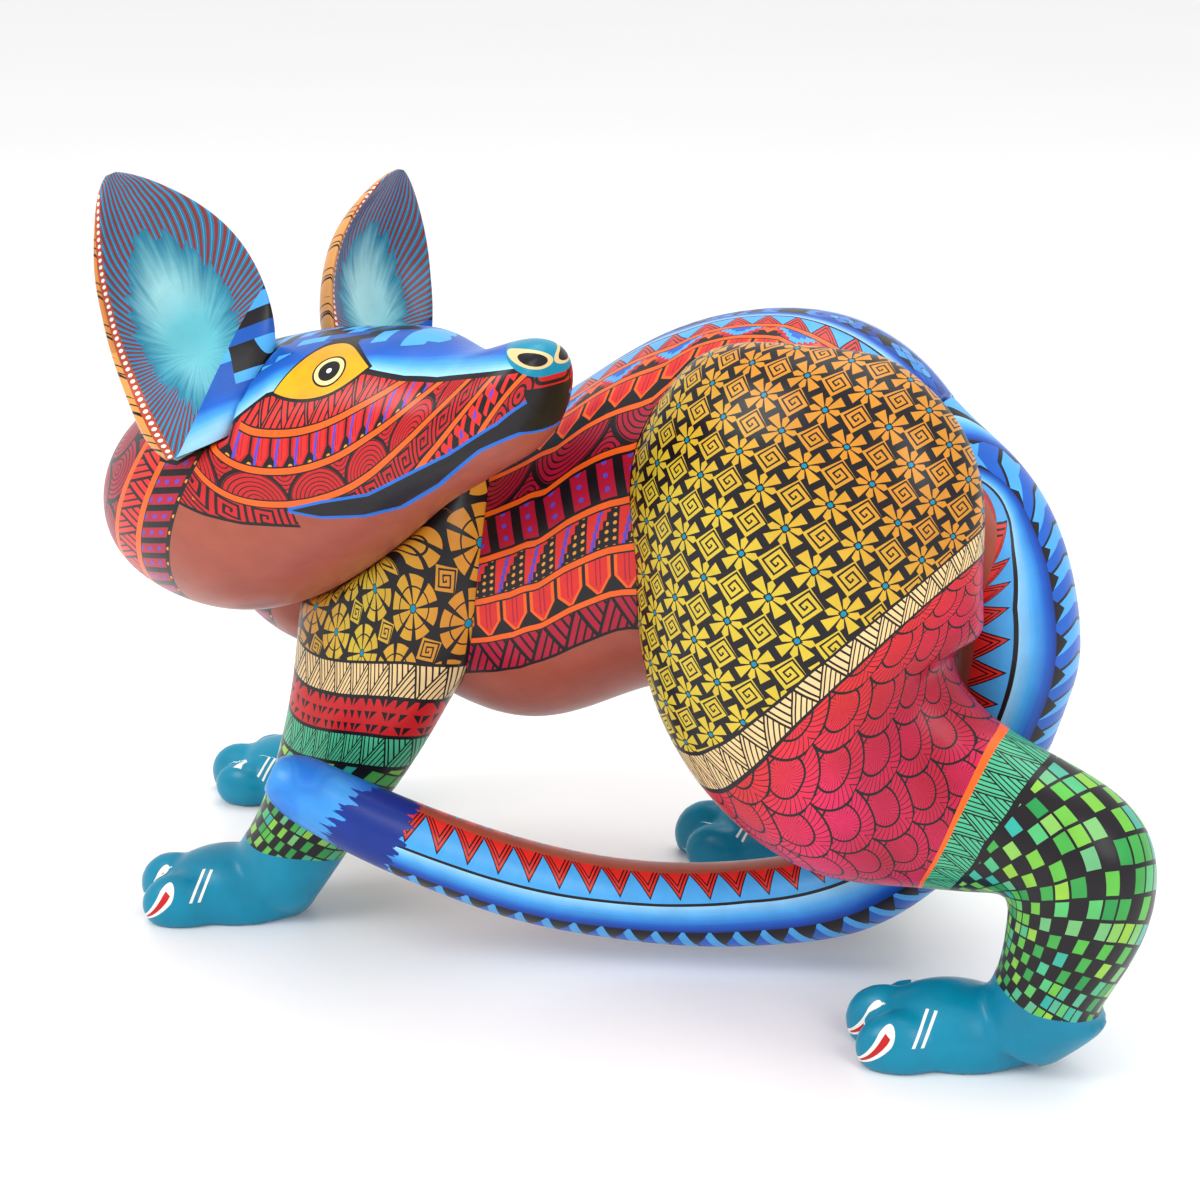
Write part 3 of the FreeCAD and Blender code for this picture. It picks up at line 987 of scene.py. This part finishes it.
# The face is drawn in millimetres: a is the distance ahead of the snout's tip, negative behind it, z the
# height, and side the distance from the middle plane of the head. Curves are points (a, z). The points of
# the mouth, jaw, streak and eye were picked by eye on the photo and carried onto the head's surface by a
# helper script, which is not handed in.
MOUTH_UPPER = ((-68, 149.2), (-60, 151.8), (-47.8, 154.8), (-36.6, 161.1), (-21.5, 169.7),
               (-7.6, 179.5), (-2.6, 184.6), (0, 187.5))
MOUTH_LOWER = ((-68, 149), (-61.7, 147.6), (-52.2, 148.2), (-43.4, 151.2), (-29.6, 159.8), (-14, 172),
               (-5, 177), (0, 175))
JAW = ((-110, 150), (-100, 147), (-94, 145.5), (-83, 143.9), (-68, 144))
STREAK_LOWER = ((-118, 158.5), (-104, 158.8), (-98.7, 161.9), (-88.7, 170.2), (-77.9, 180.2),
                (-62, 186), (-48.5, 189.6), (-37.9, 188.8), (-28.7, 189.3), (-13.6, 192.6),
                (-3.3, 194.8), (0, 196))
STREAK_UPPER = ((-118, 161), (-110.7, 166), (-105.8, 172), (-96, 178), (-86, 184), (-80.3, 188.6),
                (-73, 192.5), (-56, 194), (-35, 195.5), (-11.4, 199.5), (0, 201))
MOUTH_CORNER = -68.0
STREAK_START = -112.0
# The lines on the cheek hang in curves below the eye; each is named by its height at the lowest point
CHEEK_LOW = -76.0
HATCH_LINE, PETAL_LINE, FAN_LINE, KEY_LINE, CROSS_LINE = 170.5, 160.2, 150.4, 141.0, 130.0
# The bands of the nape lean, and meet where a less half of z has these values
TILE_LINE, NAPE_HATCH_LINE, NAPE_FAN_LINE = -175.5, -189.0, -201.0
EYE_CORNER = (-75.4, 180.7)
EYE_TILT = math.radians(19.3)
EYE_LENGTH = 28.1
EYE_CENTRE = (-60.8, 22.3, 187.5)
EYE_RINGS = ((5.3, INK), (4.7, IRIS), (3.4, INK), (0.9, WHITE))
NOSTRIL = (-1.9, 5.8, 196.4)


def cheek_colours(a, z):
    """Bands of different motifs between orange lines."""
    behind = a - CHEEK_LOW
    bend = choose(a > CHEEK_LOW, 0.0115, 0.019)
    w = z - behind * behind * bend + (noise(45.0) - 0.5) * 1.2
    u = a + (z - w) * 0.5
    picture = over(RED, w > HATCH_LINE, hatched_teeth(
        u, clamp((w - HATCH_LINE) / 12.0) * 12.0, 12.0, 8.0, 3.5, SCARLET))
    share = (HATCH_LINE - w) / 10.5
    petals = feathers(u, share, 6.5, RED, SCARLET)
    petals = over(petals, size(fract(u / 6.5 + share * 0.2) - 0.42) < 0.07, VIOLET)
    petals = over(petals, beads(u + 3.25, share, 6.5, 0.86, 0.7, 10.5), BEAD)
    picture = over(picture, between(w, PETAL_LINE - 0.2, HATCH_LINE), petals)
    curls = fans(u, w - FAN_LINE, 9.6, 1.25, RED, 0.05, 0.24)
    picture = over(picture, between(w, FAN_LINE, PETAL_LINE - 0.2), curls)
    picture = over(picture, w < FAN_LINE, over(RED, key_line(u, w - KEY_LINE - 0.5, 8.9), INK))
    crosses = over(INK, crossed_petals(u / 7.0, (w - CROSS_LINE - 1.0) / 10.0), SCARLET)
    crosses = over(crosses, distance(fract(u / 7.0) - 0.5, (w - CROSS_LINE - 6.0) / 10.0) < 0.12, VIOLET)
    below_mouth_corner = a > -45.0
    picture = over(picture, (w < KEY_LINE + 0.5) & below_mouth_corner, crosses)
    whorl = over(RED, fract(distance((fract(u / 8.0) - 0.5) * 8.0, w - 126.0) / 1.7) < 0.35, INK)
    picture = over(picture, (w < CROSS_LINE + 0.5) & below_mouth_corner, whorl)
    above_mouth = z > course(a, *MOUTH_UPPER)
    for line in (HATCH_LINE, PETAL_LINE, FAN_LINE, KEY_LINE, CROSS_LINE):
        start = -83.0 if line == HATCH_LINE else -97.0
        shown = above_mouth & between(a, start, 5.0)
        picture = over(picture, (size(w - line) < 1.35) & shown, INK)
        picture = over(picture, (size(w - line) < 0.9) & shown, ORANGE)
    return picture


def crossed_petals(u, v):
    """Four petals in each cell."""
    x = fract(u) - 0.5
    y = fract(v) - 0.5
    return (size(size(x) - size(y)) < 0.20) & (distance(x, y) > 0.10) & (distance(x, y) < 0.52)


def crown_colours(a, side, z):
    """The blue streak from the ear over the eye to the nose, and the mosaic above it. Gives the height of the
    streak's lower edge, and the colours."""
    low = course(a, *STREAK_LOWER)
    high = course(a, *STREAK_UPPER)
    share = (z - low) / (high - low)
    streak = streaks(a, share, (0.0, PALE_BLUE), (0.35, SKY), (0.66, BLUE), (1.0, HEAD_BLUE))
    i = floor((a + z * 0.9) / 5.0)
    j = floor((z - a * 0.6 - size(side) * 0.9) / 4.6)
    chance = random_cell(i, j)
    tile = over(over(HEAD_BLUE, chance > 0.36, SKY), chance > 0.62, INK)
    snout_top = streaks(a, size(side) / 12.0, (0.0, PALE_BLUE), (0.5, SKY), (1.0, BLUE))
    crown = over(tile, a > size(side) * 0.6 - 36.0, snout_top)
    return low, over(streak, z > high, crown)


def chin_and_nape(picture, a, z):
    """Bare terracotta under the jaw, and leaning bands behind it."""
    jaw = choose(a < MOUTH_CORNER, course(a, *JAW), course(a, *MOUTH_LOWER))
    picture = over(picture, z < jaw, TERRACOTTA)
    picture = over(picture, (size(z - jaw) < 0.5) & (a < -62.0), INK)
    n = a - z * 0.5
    tile_width = TILE_LINE - NAPE_HATCH_LINE
    tiles = slanted_tiles(z, (n - NAPE_HATCH_LINE) / tile_width, 5.5, tile_width)
    hatch_width = NAPE_HATCH_LINE - NAPE_FAN_LINE
    hatch = hatched_teeth(z, n - NAPE_FAN_LINE, hatch_width, 9.0, 4.0, SCARLET)
    nape = over(CRIMSON, between(n, NAPE_HATCH_LINE, TILE_LINE), tiles)
    nape = over(nape, between(n, NAPE_FAN_LINE, NAPE_HATCH_LINE), hatch)
    nape = over(nape, n < NAPE_FAN_LINE, fans(z, n + 300.0, 10.0, 1.5, CRIMSON))
    nape = stripe(nape, n, NAPE_HATCH_LINE, 2.4, ORANGE)
    nape = stripe(nape, n, NAPE_FAN_LINE, 2.4, ORANGE)
    nape = stripe(nape, n, TILE_LINE, 1.0, INK)
    return over(picture, n < TILE_LINE, nape)


def mouth(picture, a, z):
    """Black lips edged in blue, which meet in a black patch under the nose."""
    upper = course(a, *MOUTH_UPPER)
    lower = course(a, *MOUTH_LOWER)
    edge = (z < upper + 0.9) & (z > lower - 0.9) & (a > MOUTH_CORNER - 1.0)
    lips = (z < upper) & (z > lower) & (a > MOUTH_CORNER)
    picture = over(picture, edge, SKY_EDGE)
    picture = over(picture, lips, over(INK, noise(60.0) - 0.3, SOOT))
    return over(picture, (a > -2.0) & between(z, 175.0, 189.0), INK)


def eye(picture, a, side, z):
    """A yellow almond outlined in black, with a ringed pupil."""
    s, n = eye_axes(a, z)
    rise = (s - 10.0) / choose(s < 10.0, 10.0, EYE_LENGTH - 10.0)
    fall = (s - 15.5) / choose(s < 15.5, 15.5, EYE_LENGTH - 15.5)
    top_lid = 8.6 * (1.0 - rise * rise)
    low_lid = -4.3 * (1.0 - fall * fall)
    outside = larger(n - top_lid, low_lid - n)
    near = between(s, -2.0, EYE_LENGTH + 2.0) & (size(side) > 8.0)
    white = over(EYE_YELLOW, clamp(noise(50.0) * 2.2 - 0.8), ORANGE_GOLD)
    picture = over(picture, (outside < 0.9) & near, INK)
    picture = over(picture, (outside < 0.0) & near, white)
    x, y, h = a - EYE_CENTRE[0], size(side) - EYE_CENTRE[1], z - EYE_CENTRE[2]
    reach = root(x * x + y * y + h * h)
    for radius, colour in EYE_RINGS:
        picture = over(picture, reach < radius, colour)
    return picture


def nose(picture, a, side, z):
    """Teal, with a black almond edged in cream for each nostril."""
    on_nose = (a > -12.0) & (z > 191.8 - a * 0.6)
    picture = over(picture, on_nose, TEAL)
    along = (a - NOSTRIL[0]) * 0.50 - (size(side) - NOSTRIL[1]) * 0.86
    across = (z - NOSTRIL[2]) + along * 0.12
    almond = distance(along / 4.2, across / 1.7)
    picture = over(picture, (almond < 1.36) & on_nose, CREAM)
    return over(picture, (almond < 0.95) & on_nose, INK)


def head_colours():
    a, side, z = stored_vector("head_place")
    picture = chin_and_nape(cheek_colours(a, z), a, z)
    picture = mouth(picture, a, z)
    streak_low, crown = crown_colours(a, side, z)
    on_skull = a > STREAK_START
    picture = over(picture, (z > streak_low - 1.3) & on_skull, INK)
    picture = over(picture, (z > streak_low) & on_skull, crown)
    picture = eye(picture, a, side, z)
    return nose(picture, a, side, z)


def eye_axes(a, z):
    """Distances along and above the line between the corners of the eye."""
    x, y = a - EYE_CORNER[0], z - EYE_CORNER[1]
    return x * math.cos(EYE_TILT) + y * math.sin(EYE_TILT), y * math.cos(EYE_TILT) - x * math.sin(EYE_TILT)


def put_head_place(mesh):
    """Distances ahead of the snout's tip, to the left of the head's middle plane, and above the floor."""
    ahead = np.array((math.cos(math.radians(HEAD_TURN)), math.sin(math.radians(HEAD_TURN)), 0.0))
    left = np.cross(UP, ahead)
    skull = points_of(frame["nodes"]["head"].data)
    snout = skull[np.argmax(skull @ ahead)]
    tip = (skull - snout) @ ahead > -4.0
    sideways = (skull[tip] - snout) @ left
    middle = (sideways.min() + sideways.max()) / 2
    points = points_of(mesh)
    forward = (points - snout) @ ahead
    put(mesh, "head_place", np.stack([forward, (points - snout) @ left - middle, points[:, 2]], 1))


def make_head(neck_paint):
    piece = skin("head", "painted_head", voxel=1.2, smoothing=8)
    put_head_place(piece.data)
    put_trunk_place(piece.data)
    piece.data.materials.append(painted("head_paint", head_colours))
    piece.data.materials.append(neck_paint)
    for face in piece.data.polygons:
        face.material_index = int(face.center.y * MM > NECK_SIDE)
    finish_piece(piece, "carving", "head_paint", "head")


# -------- the tail and the ears

# Rough course of the tail from its root to its tip, as shares of its box
TAIL_COURSE = (
    (0.80, 0.5, 0.84), (0.93, 0.29, 0.72), (1.0, 0.29, 0.60), (0.98, 0.29, 0.44), (0.88, 0.27, 0.27),
    (0.74, 0.24, 0.13), (0.58, 0.30, 0.08), (0.40, 0.42, 0.08), (0.25, 0.60, 0.13), (0.12, 0.75, 0.22),
    (0.0, 0.9, 0.33))
# Where the painted bands end, as (millimetres along the tail, share of the way round from its outer side)
SCALES_EDGE = ((10, 0.05), (60, 0.17), (200, 0.38), (350, 0.38))
BLUE_EDGE = ((10, 0.123), (60, 0.36), (200, 0.605), (350, 0.60))
FIN_ROOTS = ((10, 0.24), (60, 0.54), (200, 0.88), (350, 0.98))
DARK_TIP, PALE_TIP = 29.0, 14.0   # where the dark and then the paler blue start, in millimetres from the tip


def tail_colours():
    turn, along = stored_turn()
    t = stored("share_round") + (noise(30.0) - 0.5) * 0.01
    scale_end = course(along, *SCALES_EDGE)
    line = course(along, *BLUE_EDGE)
    roots = course(along, *FIN_ROOTS)
    fins = spiral_fins(along, (roots - t) / (roots - line) * 1.25, 9.5)
    picture = over(TERRACOTTA, t < roots, fins)
    picture = over(picture, t < line, streaks(
        along, (line - t) / (line - scale_end), (0.0, PALE_BLUE), (0.4, SKY), (0.75, BLUE), (1.0, DEEP_BLUE)))
    leaf = along / 8.0
    plume = over(SKY, fract(leaf - t * 2.0) < 0.5, BLUE)
    plume = over(plume, wave(leaf) * scale_end * 0.5 > scale_end - t + 0.02, INK)
    plume = over(plume, size(fract(leaf - t * 2.0) - 0.5) < 0.05, INK)
    picture = over(picture, t < scale_end, plume)
    picture = stripe(picture, t, line, 0.022, INK)
    ragged = stored("from_tip") + (noise(1.0, vector_of(turn * 40.0, 0.0)) - 0.5) * 12.0
    picture = over(picture, ragged < DARK_TIP, DEEP_BLUE)
    tip = streaks(turn * 60.0, (noise(24.0) - 0.3) * 2.2, (0.0, BLUE), (0.6, SKY_EDGE), (1.0, SKY))
    return over(picture, ragged < PALE_TIP, tip)


def make_tail():
    piece = skin("tail", "painted_tail", voxel=1.2, smoothing=6)
    points = points_of(piece.data)
    path = centred_path(points, [place_in("tail", shares) for shares in TAIL_COURSE])
    ridge = -np.cross(directions_of(path), LEFTWARD)
    along, turn, _, _ = unroll(points, path, ridge)
    put(piece.data, "share_round", np.abs(turn) * 2)
    put(piece.data, "from_tip", along.max() - along)
    put_turn(piece.data, turn, along)
    piece.data.materials.append(painted("tail_paint", tail_colours))
    finish_piece(piece, "tail", "tail_paint", "tail")


# Direction that each ear's cup faces
EARS = {"left_ear": np.array((0.92, -0.22, 0.20)), "right_ear": np.array((0.72, -0.62, 0.30))}
EAR_SLICES = 24
RAYS = 104


def ear_inside(s, h):
    """A pale glow in the cup, dark red rays, the head's blue at the lower front edge, and a dotted rim."""
    around = angle(h - 0.30, s * 0.30)
    reach = distance(s / 0.52, (h - 0.42) / 0.30)
    fray = noise(1.0, vector_of(around * 90.0, reach * 1.5)) - 0.5
    rays = over(TEAL_PAINT, fract(around * RAYS) < 0.44, EAR_RED)
    rays = over(rays, fract(around * RAYS + 0.3) < 0.10, SKY)
    glow = over(PALE_TEAL, clamp(noise(25.0) * 3.0 - 1.1), WHITE_TEAL)
    picture = over(rays, reach < 1.15 + fray * 0.7, TEAL_PAINT)
    picture = over(picture, clamp((1.15 - reach + fray * 0.9) * 1.6), glow)
    a, _, z = stored_vector("head_place")
    _, crown = crown_colours(a, 0.0, z)
    picture = over(picture, s > h * 4.2 - 0.8, crown)
    picture = over(picture, s < -0.82, EAR_RIM)
    return over(picture, distance(fract(h * 44.0) - 0.5, (s + 0.875) * 9.0) < 0.29, WHITE)


def ear_colours():
    s, h, cup = stored_vector("ear_place")
    leaves = fract(h * 7.0 - size(s) * 2.4)
    ribs = (leaves < 0.5) & (fract(h * 34.0 + s * 9.0) < 0.20)
    outside = over(EAR_OCHRE, noise(20.0) > 0.52, PALE_OCHRE)
    outside = over(outside, (leaves < 0.07) | ribs, INK)
    return over(outside, (cup > 0.12) & (s > -0.935), ear_inside(s, h))


def make_ear(node):
    piece = skin(node, "painted_" + node)
    points = points_of(piece.data)
    joint = next(j for j in frame["joints"] if j["child"] == node)
    aloft = np.array(joint["axis"])
    front = EARS[node] - aloft * (EARS[node] @ aloft)
    front /= np.linalg.norm(front)
    high = points @ aloft
    high = (high - high.min()) / (high.max() - high.min())
    beside = points @ np.cross(aloft, front)
    owner = np.clip((high * EAR_SLICES).astype(int), 0, EAR_SLICES - 1)
    slices = [beside[owner == k] for k in range(EAR_SLICES)]
    middle = [(own.min() + own.max()) / 2 for own in slices]
    half = [max((own.max() - own.min()) / 2, 1.0) for own in slices]
    here = (np.arange(EAR_SLICES) + 0.5) / EAR_SLICES
    share = (beside - np.interp(high, here, middle)) / np.interp(high, here, half)
    put(piece.data, "ear_place", np.stack([share, high, normals_of(piece.data) @ front], 1))
    put_head_place(piece.data)
    piece.data.materials.append(painted(node + "_paint", ear_colours))
    finish_piece(piece, node, "ear_paint", node)


# -------- pegs, dowels and nails

def steel():
    material = painted("nail_steel", lambda: ramp(noise(900.0), *STEEL))
    shader = next(n for n in material.node_tree.nodes if n.type == "BSDF_PRINCIPLED")
    shader.inputs["Metallic"].default_value = 1.0
    return material


def finish_hidden_parts():
    wood = painted("turned_wood", lambda: ramp(noise(30.0, detail=6.0), *WOOD), rough=0.6, coat=0.0)
    metal = steel()
    for name, node in frame["nodes"].items():
        if "peg" in name or "dowel" in name:
            node.data.materials.clear()
            node.data.materials.append(wood)
        elif "nail" in name:
            node.data.materials.clear()
            node.data.materials.append(metal)


# -------- floor, light and camera

FLOOR_REACH = 4.0         # metres
# Each light: place from the middle of the figure, width, height, and power
LIGHTS = {
    "key_light": ((-0.7, -1.0, 1.0), 0.7, 0.7, 9.5),
    "fill_light": ((1.1, -0.7, 0.7), 0.6, 0.9, 6.0),
    "top_light": ((0.1, 0.3, 1.3), 1.0, 1.0, 7.0),
}


def make_floor():
    shape = bpy.data.meshes.new("floor")
    corners = [(x * FLOOR_REACH, y * FLOOR_REACH, 0) for x, y in ((-1, -1), (1, -1), (1, 1), (-1, 1))]
    shape.from_pydata(corners, [], [(0, 1, 2, 3)])
    floor_piece = bpy.data.objects.new("floor", shape)
    bpy.context.scene.collection.objects.link(floor_piece)
    material = bpy.data.materials.new("pale_floor")
    material.use_nodes = True
    Value.tree = material.node_tree
    shader = material.node_tree.nodes["Principled BSDF"]
    feed(shader.inputs["Base Color"], ramp(noise(3.0), *FLOOR))
    shader.inputs["Roughness"].default_value = 0.35
    shape.materials.append(material)


def area_light(name, place, aim, width, height, power):
    lamp = bpy.data.lights.new(name, "AREA")
    lamp.shape = "RECTANGLE"
    lamp.size = width
    lamp.size_y = height
    lamp.energy = power
    lamp_object = bpy.data.objects.new(name, lamp)
    lamp_object.location = place
    lamp_object.rotation_euler = (Vector(aim) - Vector(place)).to_track_quat("-Z", "Y").to_euler()
    bpy.context.scene.collection.objects.link(lamp_object)


def make_light():
    middle = (CAD_LOW + CAD_HIGH) / 2
    for name, (offset, width, height, power) in LIGHTS.items():
        area_light(name, middle + Vector(offset), middle, width, height, power)
    world = bpy.data.worlds.new("studio")
    world.use_nodes = True
    background = world.node_tree.nodes["Background"]
    background.inputs["Color"].default_value = (1.0, 1.0, 1.0, 1.0)
    background.inputs["Strength"].default_value = 0.95
    bpy.context.scene.world = world
    bpy.context.scene.view_settings.view_transform = "Standard"


def make_camera():
    span = CAD_HIGH - CAD_LOW
    target = CAD_LOW + Vector([s * share for s, share in zip(span, CAMERA_LOOKS_AT)])
    turn, above = math.radians(CAMERA_ROUND), math.radians(CAMERA_ABOVE)
    back = Vector((math.sin(turn) * math.cos(above), -math.cos(turn) * math.cos(above), math.sin(above)))
    lens = bpy.data.cameras.new("camera")
    lens.lens = CAMERA_LENS
    lens.sensor_width = 36.0
    camera = bpy.data.objects.new("camera", lens)
    camera.location = target + back * (CAMERA_DISTANCE * span.x)
    camera.rotation_euler = (-back).to_track_quat("-Z", "Y").to_euler()
    bpy.context.scene.collection.objects.link(camera)
    bpy.context.scene.camera = camera


trunk_paint = painted("trunk_paint", trunk_colours)
make_trunk(trunk_paint)
for leg_node in LEG_COURSES:
    make_leg(leg_node)
make_head(trunk_paint)
make_tail()
for ear_node in EARS:
    make_ear(ear_node)
finish_hidden_parts()
make_floor()
make_light()
make_camera()
